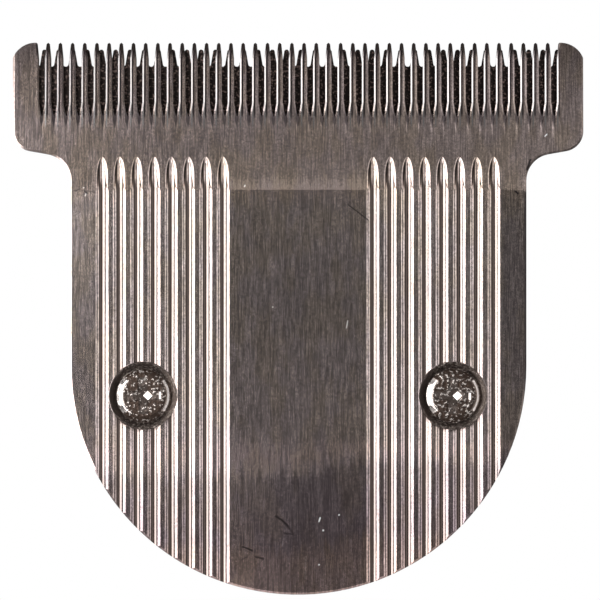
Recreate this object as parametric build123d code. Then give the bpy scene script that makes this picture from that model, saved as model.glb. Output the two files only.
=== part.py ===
from build123d import *
import os
from math import atan, atan2, cos, degrees, radians, sin, sqrt, tan

os.makedirs("parts", exist_ok=True)

# Millimetres and degrees. X runs along the tooth row, Y towards the tooth tips and Z out of the
# skin face. Z = 0 is the rim of the carrier, on which the cartridge lies.

# Fixed blade: outline
blade_width = 40.0
blade_length = 38.7
blade_thickness = 1.4
shank_width = 32.0
ear_corner_radius = 1.7
ear_corner_run = 1.58
ear_height = 7.4
ear_foot_slope = 10.0
ear_foot_radius = 1.4
shank_fillet = 1.9
ear_foot_share = 0.9
edge_break = 0.07
edge_break_run = 0.14

# Fixed blade: ground bevel and tooth nose
bevel_length = 10.35
bevel_angle = 4.5
nose_length = 0.58
nose_drop = 0.36

# Fixed blade: tooth comb
tooth_pitch = 0.855
ear_land = 1.6
slot_width = 0.42
slot_mouth = 0.62
slot_mouth_length = 1.1
slot_root = 5.23
slot_arch = 1.05
slot_knee = 0.63
slot_knee_width = 0.22
tooth_bevel_width = 0.11
tooth_bevel_depth = 0.06
tooth_tip_break = 0.07

# Fixed blade: hollow ground into the back, so the cutter rides on two lands
relief_depth = 0.1
front_land = 2.6
relief_length = 5.2

# Fixed blade: coined grooves, in two fields
groove_margin = 2.0
groove_pitch = 1.212
groove_first = 5.25
groove_width = 0.98
groove_depth = 0.18
groove_floor_radius = 0.33

# Screws, their dished seats and the brass inserts that take them
screw_inset = 5.15
screw_behind_centre = 2.05
seat_diameter = 4.7
seat_floor_diameter = 3.9
seat_depth = 0.85
blade_hole_diameter = 2.5
head_diameter = 3.7
head_rim = 0.55
head_shoulder = 0.46
head_shoulder_rise = 0.25
screw_diameter = 1.96
screw_length = 3.4
cross_span = 2.7
cross_root = 0.9
cross_arm = 0.68
cross_depth = 0.5
left_cross_turn = 4.0
right_cross_turn = -6.0
insert_diameter = 3.0
insert_length = 3.0
insert_bore = 2.0

# Moving cutter
cutter_thickness = 0.8
cutter_pitch = 1.0
cutter_margin = 0.05
cutter_end_land = 0.15
cutter_setback = 0.47
cutter_tooth_length = 1.19
cutter_tip_width = 0.28
cutter_tip_break = 0.09
cutter_gullet_radius = 0.18
cutter_gullet_heel = 0.075
cutter_back_bevel = 0.5
cutter_bevel_length = 1.4
cutter_bar_depth = 6.6
cutter_tab_width = 21.0
cutter_tab_depth = 7.8
cutter_tab_chamfer = 1.2
cutter_tab_fillet = 1.0
cutter_parked = 0.2
cutter_stroke = 2.4

# Cam follower
follower_width = 8.6
follower_flange = 1.5
follower_corner = 0.8
fork_width = 6.6
fork_slot = 3.05
fork_height = 2.7
fork_length = 4.2
fork_lead = 0.4
fork_setback = 0.4
stake_diameter = 1.4
stake_spacing = 5.6
stake_inset = 3.4
stake_below_face = 0.1

# Blade carrier
carrier_height = 6.2
carrier_inset = 0.4
carrier_wall = 1.3
carrier_web = 1.6
carrier_top_gap = 0.4
front_wall = 1.15
rim_break = 0.4
boss_diameter = 4.8
boss_height = 3.4
rib_thickness = 0.9
rib_height = 1.8
latch_width = 3.2
latch_height = 1.6
latch_sill = 1.2
latch_y = 0.9
ledge_width = 9.0
ledge_depth = 1.3
ledge_height = 1.0
ledge_corner = 0.5

# Tension spring, a wire bail
wire_diameter = 0.6
bail_width = 14.0
bail_length = 10.6
bail_bend = 0.9
bail_bend_steps = 3
bar_setback = 1.2
socket_depth = 1.6
socket_wall = 0.6
hook_stem = 1.1
hook_lip = 0.8
hook_depth = 1.4
hook_setback = 0.6

# Fits
slide_clearance = 0.15
hole_clearance = 0.05
seat_clearance = 0.02
wire_clearance = 0.06
under_clearance = 0.2
lip_crossing = 0.002
overcut = 1.0
rim_overcut = 0.02

# Levels and lines that follow from the sizes above
tip_y = blade_length / 2
heel_centre_y = shank_width / 2 - tip_y
blade_back = carrier_height
blade_front = blade_back + blade_thickness
bevel_y = tip_y - bevel_length
screw_x = shank_width / 2 - screw_inset
screw_y = heel_centre_y - screw_behind_centre
seat_floor = blade_front - seat_depth
cutter_back = blade_back - cutter_thickness
cutter_tip_y = tip_y - cutter_setback
cutter_root_y = cutter_tip_y - cutter_tooth_length
bar_back_y = cutter_tip_y - cutter_bar_depth
tab_back_y = bar_back_y - cutter_tab_depth
carrier_top_y = bar_back_y - carrier_top_gap
well_top_y = carrier_top_y - front_wall
web_under = carrier_height - carrier_web
web_edge_y = tab_back_y - 2 * slide_clearance
follower_back_y = web_edge_y + slide_clearance
follower_top_y = well_top_y - slide_clearance
flange_under = cutter_back - follower_flange
wire_radius = wire_diameter / 2
leg_x = bail_width / 2
bar_y = follower_top_y - bar_setback
leg_end_y = bar_y - bail_length
wire_z = web_under - under_clearance - wire_radius
travel = cutter_stroke / 2 + cutter_parked
slot_count = int((blade_width - 2 * ear_land) / tooth_pitch)
cutter_teeth = int((blade_width - 2 * (travel + cutter_margin)) / cutter_pitch)
groove_count = int((shank_width / 2 - groove_first - groove_margin) / groove_pitch) + 1


def mirrored_pair(shape):
    """The shape and its mirror image across the centre plane."""
    return [shape, mirror(shape, about=Plane.YZ)]


def d_plan(inset, top_y):
    """Half-round heel with straight sides up to top_y, inset from the edge of the shank."""
    radius = shank_width / 2 - inset
    sides = Polyline(
        (radius, heel_centre_y), (radius, top_y), (-radius, top_y), (-radius, heel_centre_y)
    )
    return make_face([sides, CenterArc((0, heel_centre_y), radius, 180, 180)])


def blade_plan():
    """Outline of the fixed blade: tooth bar with ears, filleted into the half-round shank."""
    half = blade_width / 2
    foot_y = tip_y - ear_height
    neck_y = foot_y - (half - shank_width / 2) * tan(radians(ear_foot_slope))
    corner_x = half - ear_corner_run
    corner_fall = ear_corner_radius - sqrt(ear_corner_radius**2 - ear_corner_run**2)
    turn = atan2(ear_corner_run, ear_corner_radius - corner_fall) / 2
    corner_mid = (
        corner_x + ear_corner_radius * sin(turn),
        tip_y - ear_corner_radius * (1 - cos(turn)),
    )
    side_y = tip_y - corner_fall
    right = [
        Line((0, tip_y), (corner_x, tip_y)),
        ThreePointArc((corner_x, tip_y), corner_mid, (half, side_y)),
        Polyline((half, side_y), (half, foot_y), (shank_width / 2, neck_y), (shank_width / 2, 0), (0, 0)),
    ]
    bar = make_face(right + [Line((0, 0), (0, tip_y))])
    bar = bar + mirror(bar, about=Plane.YZ)
    plan = bar + d_plan(0, neck_y)
    foot_run = ear_foot_share * (half - shank_width / 2) / cos(radians(ear_foot_slope))
    both_radii = foot_run / tan(radians(90 - ear_foot_slope) / 2)
    ease = min(1, both_radii / (ear_foot_radius + shank_fillet))
    feet = [v for v in plan.vertices() if abs(v.Y - foot_y) < edge_break]
    plan = fillet(feet, ease * ear_foot_radius)
    necks = [v for v in plan.vertices() if abs(abs(v.X) - shank_width / 2) < edge_break and v.Y > 0]
    return fillet(necks, ease * shank_fillet)


def bevel_side():
    """Side-view plane whose x axis runs down the bevel from its start towards the tooth tips."""
    slope = radians(bevel_angle)
    return Plane((0, bevel_y, blade_front), x_dir=(0, cos(slope), -sin(slope)), z_dir=(1, 0, 0))


def bevel_tool():
    """Tool that grinds the bevel."""
    reach = bevel_length + 2 * overcut
    wedge = make_face(
        Polyline((-overcut, 0), (reach, 0), (reach, overcut), (-overcut, overcut), close=True)
    )
    return extrude(bevel_side() * wedge, blade_width, both=True)


def nose_tool():
    """Tool that grinds the end of the bevel down between the ears, the tooth nose."""
    tip = bevel_length / cos(radians(bevel_angle))
    start = tip - nose_length
    outside = tip + overcut
    fall = nose_drop * (outside - start) / nose_length
    facet = Polyline((start, 0), (outside, -fall), (outside, overcut), (start, overcut), close=True)
    return extrude(bevel_side() * make_face(facet), tooth_pitch * (slot_count - 1) / 2, both=True)


def break_edge(plate):
    """The plate with a broken edge where its flat front meets its sides."""
    front = plate.faces().sort_by(Axis.Z)[-1]
    sides = [f for f in plate.faces() if abs(f.normal_at().Z) < sin(radians(bevel_angle)) / 2]
    on_sides = [e for f in sides for e in f.edges()]
    outline = [e for e in front.edges() if any(e.is_same(other) for other in on_sides)]
    return chamfer(outline, edge_break_run, edge_break, reference=front)


def groove_tool(x):
    """One groove along Y: round floor that turns over into two round lips."""
    half = groove_width / 2
    radii = (half**2 + groove_depth**2) / (2 * groove_depth)
    lip = radii - groove_floor_radius
    turn = 2 * degrees(atan(groove_depth / half))
    top = blade_front + lip_crossing
    left, right = x - half, x + half
    edges = [
        CenterArc((left, top - lip), lip, 90, -turn),
        CenterArc((x, top - groove_depth + groove_floor_radius), groove_floor_radius, 270 - turn, 2 * turn),
        CenterArc((right, top - lip), lip, 90, turn),
        Polyline((right, top), (right, top + overcut), (left, top + overcut), (left, top)),
    ]
    return extrude(Plane.XZ * make_face(edges), blade_length, both=True)


def bevel_face():
    """Plane of the bevel: x along the tooth row, y from the start of the bevel towards the tips."""
    slope = radians(bevel_angle)
    return Plane((0, bevel_y, blade_front), x_dir=(1, 0, 0), z_dir=(0, sin(slope), cos(slope)))


def slot_plan():
    """Pointed-arch plan of one tooth slot in the plane of the bevel, with broken tooth tips."""
    tip = bevel_length / cos(radians(bevel_angle))
    half = slot_width / 2
    far = tip + tooth_tip_break
    shoulder = tip - slot_root + slot_arch
    chain = [
        (slot_mouth / 2 + 2 * tooth_tip_break, far),
        (slot_mouth / 2, tip - tooth_tip_break),
        (half, tip - slot_mouth_length),
        (half, shoulder),
        (slot_knee_width / 2, shoulder - slot_knee),
        (0, tip - slot_root),
    ]
    return make_face(Polyline(*chain, *[(-x, y) for x, y in reversed(chain[:-1])], close=True))


def slot_tool():
    """One tooth slot: bevelled rim, then straight through."""
    face = bevel_face()
    foot = face.offset(-tooth_bevel_depth) * slot_plan()
    spread = degrees(atan(tooth_bevel_width / tooth_bevel_depth))
    rim = extrude(foot, tooth_bevel_depth + rim_overcut, dir=face.z_dir, taper=-spread)
    return rim + extrude(foot, blade_thickness, dir=-face.z_dir)


def seat_tool():
    """Dished screw seat and the slack hole under it, on the Z axis."""
    flare = (seat_diameter - seat_floor_diameter) / 2 / seat_depth
    dish = Pos(0, 0, seat_floor) * Cone(
        seat_floor_diameter / 2,
        seat_floor_diameter / 2 + flare * (seat_depth + overcut),
        seat_depth + overcut,
        align=(Align.CENTER, Align.CENTER, Align.MIN),
    )
    hole = Pos(0, 0, blade_back) * Cylinder(blade_hole_diameter / 2, 2 * blade_thickness)
    return dish + hole


def make_fixed_blade():
    """T plate with bevel, tooth comb, coined grooves, screw seats and hollow-ground back."""
    plate = extrude(Pos(0, 0, blade_back) * blade_plan(), blade_thickness)
    plate = break_edge(plate - bevel_tool()) - nose_tool()
    grooves = [groove_tool(groove_first + k * groove_pitch) for k in range(groove_count)]
    seats = Pos(screw_x, screw_y) * seat_tool()
    relief_y = tip_y - front_land - relief_length / 2
    relief = Pos(0, relief_y, blade_back) * Box(2 * blade_width, relief_length, 2 * relief_depth)
    slot = slot_tool()
    first = -tooth_pitch * (slot_count - 1) / 2
    slots = [Pos(first + k * tooth_pitch, 0) * slot for k in range(slot_count)]
    tools = [tool for groove in grooves for tool in mirrored_pair(groove)]
    return plate - tools - mirrored_pair(seats) - relief - slots


def make_cutter():
    """Flat comb with round gullets, thinned behind the teeth, and a tab that carries the follower."""
    half_bar = cutter_pitch * cutter_teeth / 2 - cutter_gullet_radius + cutter_end_land
    bar = Pos(0, cutter_tip_y - cutter_bar_depth / 2) * Rectangle(2 * half_bar, cutter_bar_depth)
    tab = Pos(0, bar_back_y - cutter_tab_depth / 2 + overcut / 2) * Rectangle(
        cutter_tab_width, cutter_tab_depth + overcut
    )
    plan = bar + tab
    on_back = [v for v in plan.vertices() if abs(v.Y - bar_back_y) < hole_clearance]
    inner = sorted(on_back, key=lambda v: abs(v.X))[:2]
    plan = fillet(inner, cutter_tab_fillet)
    plan = chamfer(plan.vertices().group_by(Axis.Y)[0], cutter_tab_chamfer)
    gullet_y = cutter_root_y + cutter_gullet_radius
    mouth = cutter_pitch - cutter_tip_width
    spread = (mouth / 2 - cutter_gullet_radius) / (cutter_tip_y - gullet_y)
    break_y = cutter_tip_y - cutter_tip_break
    flank = cutter_gullet_radius + spread * (break_y - gullet_y)
    right = [
        (cutter_gullet_heel, cutter_root_y), (cutter_gullet_radius, gullet_y - cutter_gullet_heel),
        (flank, break_y), (flank + 2 * cutter_tip_break, cutter_tip_y + cutter_tip_break),
    ]
    gullet = make_face(Polyline(*right, *[(-x, y) for x, y in reversed(right)], close=True))
    edge = cutter_pitch * cutter_teeth / 2
    gullets = [Pos(k * cutter_pitch - edge, 0) * gullet for k in range(cutter_teeth + 1)]
    plan = plan - gullets
    cutter = extrude(Pos(0, 0, cutter_back) * plan, cutter_thickness)
    thin = make_face(
        Polyline(
            (cutter_tip_y - cutter_bevel_length, cutter_back),
            (cutter_tip_y + cutter_bevel_length, cutter_back + 2 * cutter_back_bevel),
            (cutter_tip_y + cutter_bevel_length, cutter_back),
            close=True,
        )
    )
    cutter = cutter - extrude(Plane.YZ * thin, blade_width, both=True)
    hole = Cylinder(stake_diameter / 2 + hole_clearance, 4 * cutter_thickness)
    stakes = Pos(stake_spacing / 2, follower_back_y + stake_inset, cutter_back) * hole
    return Pos(cutter_parked, 0) * (cutter - mirrored_pair(stakes))


def make_follower():
    """Flange under the cutter's tab, fork for the drive pin, groove for the spring bar, stakes."""
    length = follower_top_y - follower_back_y
    middle_y = (follower_top_y + follower_back_y) / 2
    flange = extrude(
        Pos(0, middle_y, flange_under) * RectangleRounded(follower_width, length, follower_corner),
        follower_flange,
    )
    fork_y = follower_back_y + fork_setback + fork_length / 2
    fork_z = flange_under - fork_height / 2
    fork = Pos(0, fork_y, fork_z) * Box(fork_width, fork_length, fork_height)
    fork = fillet(fork.edges().filter_by(Axis.Z), follower_corner)
    slot = Pos(0, fork_y, fork_z) * Box(fork_slot, 2 * fork_length, fork_height)
    fork = fork - slot
    lead = fork.faces().sort_by(Axis.Z)[:2]
    inner = [e for f in lead for e in f.edges() if abs(abs(e.center().X) - fork_slot / 2) < hole_clearance]
    fork = chamfer(inner, fork_lead)
    groove_radius = wire_radius + wire_clearance
    groove = Pos(0, bar_y, wire_z) * Rot(0, 90, 0) * Cylinder(groove_radius, 2 * follower_width)
    mouth = Pos(0, bar_y, wire_z - overcut / 2) * Box(2 * follower_width, 2 * groove_radius, overcut)
    stake_top = blade_back - stake_below_face
    stake = Pos(stake_spacing / 2, follower_back_y + stake_inset, cutter_back) * Cylinder(
        stake_diameter / 2, stake_top - cutter_back, align=(Align.CENTER, Align.CENTER, Align.MIN)
    )
    return Pos(cutter_parked, 0) * (flange + fork + mirrored_pair(stake) - groove - mouth)


def make_carrier():
    """Moulded tray: rim wall, web behind the shank, screw bosses, bail sockets and hooks, catches."""
    shell = extrude(d_plan(carrier_inset, carrier_top_y), carrier_height)
    shell = chamfer(shell.faces().sort_by(Axis.Z)[0].edges(), rim_break)
    inner = d_plan(carrier_inset + carrier_wall, well_top_y)
    shell = shell - extrude(inner, carrier_height)
    behind = Pos(0, web_edge_y - blade_length / 2) * Rectangle(blade_width, blade_length)
    web = extrude(Pos(0, 0, web_under) * (inner & behind), carrier_web)
    half_pass = cutter_tab_width / 2 + travel + 2 * slide_clearance
    pass_z = cutter_back - under_clearance
    over = Pos(0, carrier_top_y, pass_z + overcut) * Box(2 * half_pass, 4 * front_wall, 2 * overcut)
    boss_base = carrier_height - carrier_web - boss_height
    boss = Pos(screw_x, screw_y, boss_base) * Cylinder(
        boss_diameter / 2, boss_height + carrier_web, align=(Align.CENTER, Align.CENTER, Align.MIN)
    )
    wall_x = shank_width / 2 - carrier_inset - carrier_wall / 2
    rib = Pos((screw_x + wall_x) / 2, screw_y, web_under - rib_height / 2) * Box(
        wall_x - screw_x, rib_thickness, rib_height
    )
    insert_hole = Pos(screw_x, screw_y, carrier_height) * Cylinder(
        insert_diameter / 2 + seat_clearance, 2 * (screw_length + hole_clearance)
    )
    socket_radius = wire_radius + wire_clearance
    socket_low = wire_z - socket_radius - socket_wall
    stand = Pos(leg_x, leg_end_y + (socket_depth - socket_wall) / 2, (socket_low + web_under) / 2) * Box(
        2 * (socket_radius + socket_wall), socket_depth + socket_wall, web_under - socket_low
    )
    socket = Pos(leg_x, leg_end_y - wire_clearance, wire_z) * Rot(-90, 0, 0) * Cylinder(
        socket_radius, 2 * socket_depth, align=(Align.CENTER, Align.CENTER, Align.MIN)
    )
    hook_y = web_edge_y - hook_setback - hook_depth / 2
    lip_top = wire_z - wire_radius - wire_clearance
    stem_x = leg_x + wire_radius + under_clearance
    stem = Pos(stem_x + hook_stem / 2, hook_y, (lip_top - hook_lip + web_under) / 2) * Box(
        hook_stem, hook_depth, web_under - lip_top + hook_lip
    )
    lip_x = leg_x - wire_radius
    lip = Pos((lip_x + stem_x + hook_stem) / 2, hook_y, lip_top - hook_lip / 2) * Box(
        stem_x + hook_stem - lip_x, hook_depth, hook_lip
    )
    latch = Pos(wall_x, latch_y + web_edge_y, latch_sill + latch_height / 2) * Box(
        2 * carrier_wall, latch_width, latch_height
    )
    heel_inner_y = heel_centre_y - (shank_width / 2 - carrier_inset - carrier_wall)
    block = Pos(0, heel_inner_y + ledge_depth / 2 - carrier_wall / 2, ledge_height / 2 + rim_break) * Box(
        ledge_width, ledge_depth + carrier_wall, ledge_height
    )
    ledge = fillet(block.edges().filter_by(Axis.Z).sort_by(Axis.Y)[2:], ledge_corner)
    ledge = ledge & extrude(d_plan(carrier_inset + carrier_wall / 2, carrier_top_y), carrier_height)
    carrier = shell + web + ledge
    for part in (boss, rib, stand, stem, lip):
        carrier = carrier + mirrored_pair(part)
    for hole in (insert_hole, latch, socket):
        carrier = carrier - mirrored_pair(hole)
    return carrier - over


def make_spring():
    """Wire bail: bar across the follower, two legs that run under the hooks into their sockets."""
    step = radians(90) / bail_bend_steps
    reach = bail_bend / cos(step / 2)
    turns = [step * (k + 1 / 2) for k in range(bail_bend_steps)]
    bend = [(leg_x + reach * cos(t) - bail_bend, bar_y + reach * sin(t) - bail_bend) for t in turns]
    right = [(x, y, wire_z) for x, y in [(leg_x, leg_end_y), *bend]]
    path = Polyline(*right, *[(-x, y, z) for x, y, z in reversed(right)])
    section = Plane(right[0], z_dir=(0, 1, 0)) * Circle(wire_radius)
    return sweep(section, path, transition=Transition.RIGHT)


def make_screw(turn):
    """Low pan-head cross-recess screw on the Z axis, seated on the floor of the dish."""
    radius = head_diameter / 2
    rim_z = seat_floor + head_rim
    flat = radius - head_shoulder
    top = rim_z + head_shoulder_rise
    section = Polyline(
        (0, top), (0, seat_floor), (radius, seat_floor), (radius, rim_z), (flat, top), close=True
    )
    head = revolve(Plane.XZ * make_face(section), Axis.Z)
    shank = Pos(0, 0, seat_floor - screw_length) * Cylinder(
        screw_diameter / 2, screw_length, align=(Align.CENTER, Align.CENTER, Align.MIN)
    )
    wing = make_face(
        Polyline(
            (-cross_span / 2, top), (cross_span / 2, top), (cross_root / 2, top - cross_depth),
            (-cross_root / 2, top - cross_depth), close=True,
        )
    )
    arm = extrude(Plane.XZ * wing, cross_arm / 2, both=True)
    return Rot(0, 0, turn) * (head + shank - arm - Rot(0, 0, 90) * arm)


def make_insert():
    """Brass sleeve pressed into the boss, flush with the carrier's face."""
    sleeve = Cylinder(insert_diameter / 2, insert_length) - Cylinder(insert_bore / 2, 2 * insert_length)
    return Pos(0, 0, carrier_height - insert_length / 2) * sleeve


parts = {
    "fixed_blade": make_fixed_blade(),
    "moving_cutter": make_cutter(),
    "cam_follower": make_follower(),
    "blade_carrier": make_carrier(),
    "tension_spring": make_spring(),
    "left_screw": Pos(-screw_x, screw_y) * make_screw(left_cross_turn),
    "right_screw": Pos(screw_x, screw_y) * make_screw(right_cross_turn),
    "left_insert": Pos(-screw_x, screw_y) * make_insert(),
    "right_insert": Pos(screw_x, screw_y) * make_insert(),
}
for name, shape in parts.items():
    export_step(shape, f"parts/{name}.step")
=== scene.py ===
"""A hair clipper's T blade cartridge, lying on its back on a plain white floor.

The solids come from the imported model. This file gives them their ground steel, plating and
moulded plastic, replaces the screws and the wire bail by finer surfaces, and sets the stage.
"""

import math
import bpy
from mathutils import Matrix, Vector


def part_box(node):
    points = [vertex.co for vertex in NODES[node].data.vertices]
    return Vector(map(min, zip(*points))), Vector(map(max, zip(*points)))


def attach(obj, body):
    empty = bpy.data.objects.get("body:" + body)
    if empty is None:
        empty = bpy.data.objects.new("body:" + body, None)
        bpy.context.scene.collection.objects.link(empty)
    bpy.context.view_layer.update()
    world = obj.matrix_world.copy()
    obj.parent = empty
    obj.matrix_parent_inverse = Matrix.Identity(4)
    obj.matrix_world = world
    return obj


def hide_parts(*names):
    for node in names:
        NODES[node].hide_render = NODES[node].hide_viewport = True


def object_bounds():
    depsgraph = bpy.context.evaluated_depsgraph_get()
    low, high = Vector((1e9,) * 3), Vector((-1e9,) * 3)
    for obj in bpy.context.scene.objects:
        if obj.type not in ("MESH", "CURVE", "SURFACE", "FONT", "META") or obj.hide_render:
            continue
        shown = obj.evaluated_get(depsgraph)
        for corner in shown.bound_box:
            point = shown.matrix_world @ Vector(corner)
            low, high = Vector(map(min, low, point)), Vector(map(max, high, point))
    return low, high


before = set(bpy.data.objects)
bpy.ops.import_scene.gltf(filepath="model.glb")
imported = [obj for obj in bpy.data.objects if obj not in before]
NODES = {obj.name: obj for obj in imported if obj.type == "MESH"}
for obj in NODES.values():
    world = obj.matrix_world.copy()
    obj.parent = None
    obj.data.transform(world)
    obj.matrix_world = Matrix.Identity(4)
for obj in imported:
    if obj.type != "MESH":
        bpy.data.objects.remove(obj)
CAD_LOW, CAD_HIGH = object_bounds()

from types import SimpleNamespace

import bpy
import numpy as np
from bpy.props import FloatProperty, FloatVectorProperty, PointerProperty
from mathutils import Matrix, Vector

bl_info = {
    "name": "Clipper blade looks",
    "version": (1, 0, 0),
    "blender": (4, 5, 0),
    "location": "3D View > Sidebar > Clipper blade",
    "description": "Dresses a clipper blade's solids in ground steel, plating and moulded plastic",
    "category": "Object",
}

MM = 0.001


def colour(name, description, default):
    """A colour property."""
    return FloatVectorProperty(
        name=name, description=description, default=default, subtype="COLOR", size=3, min=0, max=1
    )


def length(name, description, default):
    """A length property, in metres."""
    return FloatProperty(
        name=name, description=description, default=default, subtype="DISTANCE", unit="LENGTH", min=0
    )


def share(name, description, default):
    """A property from 0 to 1."""
    return FloatProperty(
        name=name, description=description, default=default, subtype="FACTOR", min=0, max=1
    )


def angle(name, description, degrees):
    """An angle property, its default given in degrees."""
    return FloatProperty(
        name=name, description=description, default=math.radians(degrees), subtype="ANGLE"
    )


def radiance(name, description, default):
    """A property for the radiance of a light."""
    return FloatProperty(name=name, description=description, default=default, min=0)


class SteelFinish(bpy.types.PropertyGroup):
    """Ground steel of the fixed blade and the cutter."""

    pale: colour("Pale streak", "Colour of the plate's pale grinding streaks", (0.84, 0.71, 0.665))
    dark: colour("Dark streak", "Colour of the plate's dark grinding streaks", (0.52, 0.437, 0.41))
    olive: colour("Olive tinge", "Tinge of the plate's yellower patches", (1.0, 0.985, 0.90))
    # Painted shade: the cutter's near black colour stands for the shade it lies in behind the slots.
    cutter: colour("Cutter", "Colour of the moving cutter", (0.037, 0.029, 0.027))
    rust: colour("Rust", "Colour of the specks on the moving cutter", (0.31, 0.22, 0.195))
    # Colour that the grooves' floors take on, the more the deeper they lie.
    groove_floor: colour("Tarnish", "Colour of the steel at the bottom of the grooves", (0.34, 0.28, 0.255))
    # The grime colour also serves as painted shade on the grooves' left walls and on the slots' walls.
    grime: colour("Grime", "Colour of the grime in the seats and slots", (0.10, 0.073, 0.063))
    # Painted light: the seats' right walls, which face the key light, are painted lighter than the grime on
    # their left walls.
    painted_light: colour("Dried grime", "Colour of the dried grime on the seats' right walls", (0.27, 0.21, 0.18))
    # Painted highlight: the teeth's left edges, which face the key light, are tinted this neutral grey.
    gleam: colour("Gleam", "Colour of the teeth's ground left edges", (0.47, 0.46, 0.46))
    fleck: colour("Fleck", "Colour of the pale flecks in the seats' grime", (0.80, 0.68, 0.60))
    # Used for the real dark scratches and as painted shade behind and beside the slots and on the plate's
    # right edge.
    stain_and_shade: colour("Stain", "Colour of dark scratches and soot on the plate", (0.05, 0.04, 0.045))
    roughness: share("Roughness", "Roughness of the ground steel", 0.19)
    streak_width: length("Streak width", "Width of one grinding streak", 0.075 * MM)
    streak_length: length("Streak length", "Length of one grinding streak", 1.5 * MM)
    streak_relief: length("Streak relief", "Height of the grinding streaks", 0.0016 * MM)
    grain: length("Grain", "Size of the steel's fine mottling", 0.16 * MM)
    bevel_start: length("Bevel start", "Distance along Y at which the bevel starts", 9.0 * MM)
    bevel_fall: angle("Bevel angle", "Slope of the bevel", 4.5)
    groove_first: length("First groove", "Distance from the middle to the first groove", 5.25 * MM)
    groove_pitch: length("Groove pitch", "Distance from groove to groove", 1.212 * MM)
    groove_last: FloatProperty(name="Last groove", description="Number of the last groove", default=7, min=0)
    groove_lip: length("Groove lip", "Half width of the rounded lip at a groove's end", 0.43 * MM)
    groove_tip: length("Groove tip", "Distance along Y at which the grooves end", 11.34 * MM)
    groove_arch: length("Groove arch", "Length of a groove's rounded end", 1.4 * MM)
    slot_pitch: length("Slot pitch", "Distance from tooth slot to tooth slot", 0.855 * MM)


class ScrewShape(bpy.types.PropertyGroup):
    """Flat pan-head cross-recess screws."""

    steel: colour("Plating", "Colour of the plating where it is rubbed bright", (0.80, 0.73, 0.69))
    grime: colour("Grime", "Colour of the grime on the head", (0.068, 0.043, 0.032))
    flat: length("Flat", "Radius of the head's flat top", 1.36 * MM)
    shoulder: length("Shoulder", "Radius of the head's rounded shoulder", 0.5 * MM)
    fall: angle("Fall", "Slope of the head's outer rim", 32)
    arm: length("Arm width", "Width of the cross arms", 0.62 * MM)
    span: length("Arm span", "Distance across two opposite arms", 2.6 * MM)
    step: length("Arm depth", "Depth of the arms at their ends", 0.12 * MM)
    core: length("Core", "Diameter of the middle pit at the top", 1.4 * MM)
    thread: length("Thread depth", "Depth of the screw thread", 0.2 * MM)
    pitch: length("Thread pitch", "Pitch of the screw thread", 0.5 * MM)
    shank: length("Shank", "Diameter of the screw's shank", 1.96 * MM)
    reach: length("Shank length", "Length of the screw under its head", 3.4 * MM)
    turn_left: angle("Left turn", "Turn of the left cross", 4)
    turn_right: angle("Right turn", "Turn of the right cross", -6)


class BailShape(bpy.types.PropertyGroup):
    """Wire bail that presses the cutter on the plate."""

    steel: colour("Wire", "Colour of the drawn wire", (0.56, 0.55, 0.53))
    bend: length("Bend", "Radius of the bends at the wire's middle", 0.9 * MM)
    wire: length("Wire diameter", "Diameter of the wire", 0.6 * MM)


class MouldedFinish(bpy.types.PropertyGroup):
    """Moulded plastic and turned brass behind the plate."""

    carrier: colour("Carrier", "Colour of the moulded carrier", (0.022, 0.022, 0.024))
    follower: colour("Follower", "Colour of the moulded follower", (0.62, 0.60, 0.55))
    brass: colour("Brass", "Colour of the threaded inserts", (0.72, 0.52, 0.24))
    grain: length("Grain", "Size of the eroded grain", 0.12 * MM)


class StageSetup(bpy.types.PropertyGroup):
    """Floor, lights and camera."""

    floor: colour("Floor", "Colour of the floor", (1.0, 1.0, 1.0))
    floor_shade: colour("Floor in mirrors", "Colour of the floor where the steel mirrors it", (0.2, 0.2, 0.2))
    room: colour("Room", "Dim light of the room", (0.025, 0.024, 0.024))
    view_width: length("View width", "Width that the camera takes in", 42.03 * MM)
    view_x: FloatProperty(name="View X", description="Middle of the view", default=0.14 * MM, unit="LENGTH")
    view_y: FloatProperty(name="View Y", description="Middle of the view", default=1.3 * MM, unit="LENGTH")
    distance: length("Camera distance", "Distance from the camera to the plate", 0.6)
    key: radiance("Key", "Radiance of the left softbox", 3.2)
    strip: radiance("Strip", "Radiance of the right strip", 0.95)
    card: radiance("Card", "Radiance of the low right card", 0.85)
    top: radiance("Top", "Radiance of the softbox beyond the teeth", 0.13)
    ceiling: radiance("Ceiling", "Radiance of the light overhead", 0.06)
    low: radiance("Low", "Radiance of the low softboxes fore and aft", 0.5)


class BladeLooks(bpy.types.PropertyGroup):
    """All values of the blade's looks."""

    steel: PointerProperty(type=SteelFinish)
    screw: PointerProperty(type=ScrewShape)
    bail: PointerProperty(type=BailShape)
    moulded: PointerProperty(type=MouldedFinish)
    stage: PointerProperty(type=StageSetup)


def new_group(name, inputs, outputs):
    """An empty shader node group with named sockets: its tree, its input node and its output node."""
    tree = bpy.data.node_groups.new(name, "ShaderNodeTree")
    for label, kind, default in inputs:
        socket = tree.interface.new_socket(label, in_out="INPUT", socket_type=kind)
        socket.default_value = default
    for label, kind in outputs:
        tree.interface.new_socket(label, in_out="OUTPUT", socket_type=kind)
    return tree, tree.nodes.new("NodeGroupInput"), tree.nodes.new("NodeGroupOutput")


def connect(tree, node, links):
    """Feeds a node's sockets, each by a link or by a plain value."""
    for socket, value in links.items():
        if isinstance(value, bpy.types.NodeSocket):
            tree.links.new(value, node.inputs[socket])
        else:
            node.inputs[socket].default_value = value


def wire(tree, kind, links=None, **settings):
    """A node of this kind with its settings, its input values and its incoming links."""
    node = tree.nodes.new("ShaderNode" + kind)
    for key, value in settings.items():
        setattr(node, key, value)
    connect(tree, node, links or {})
    return node


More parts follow.
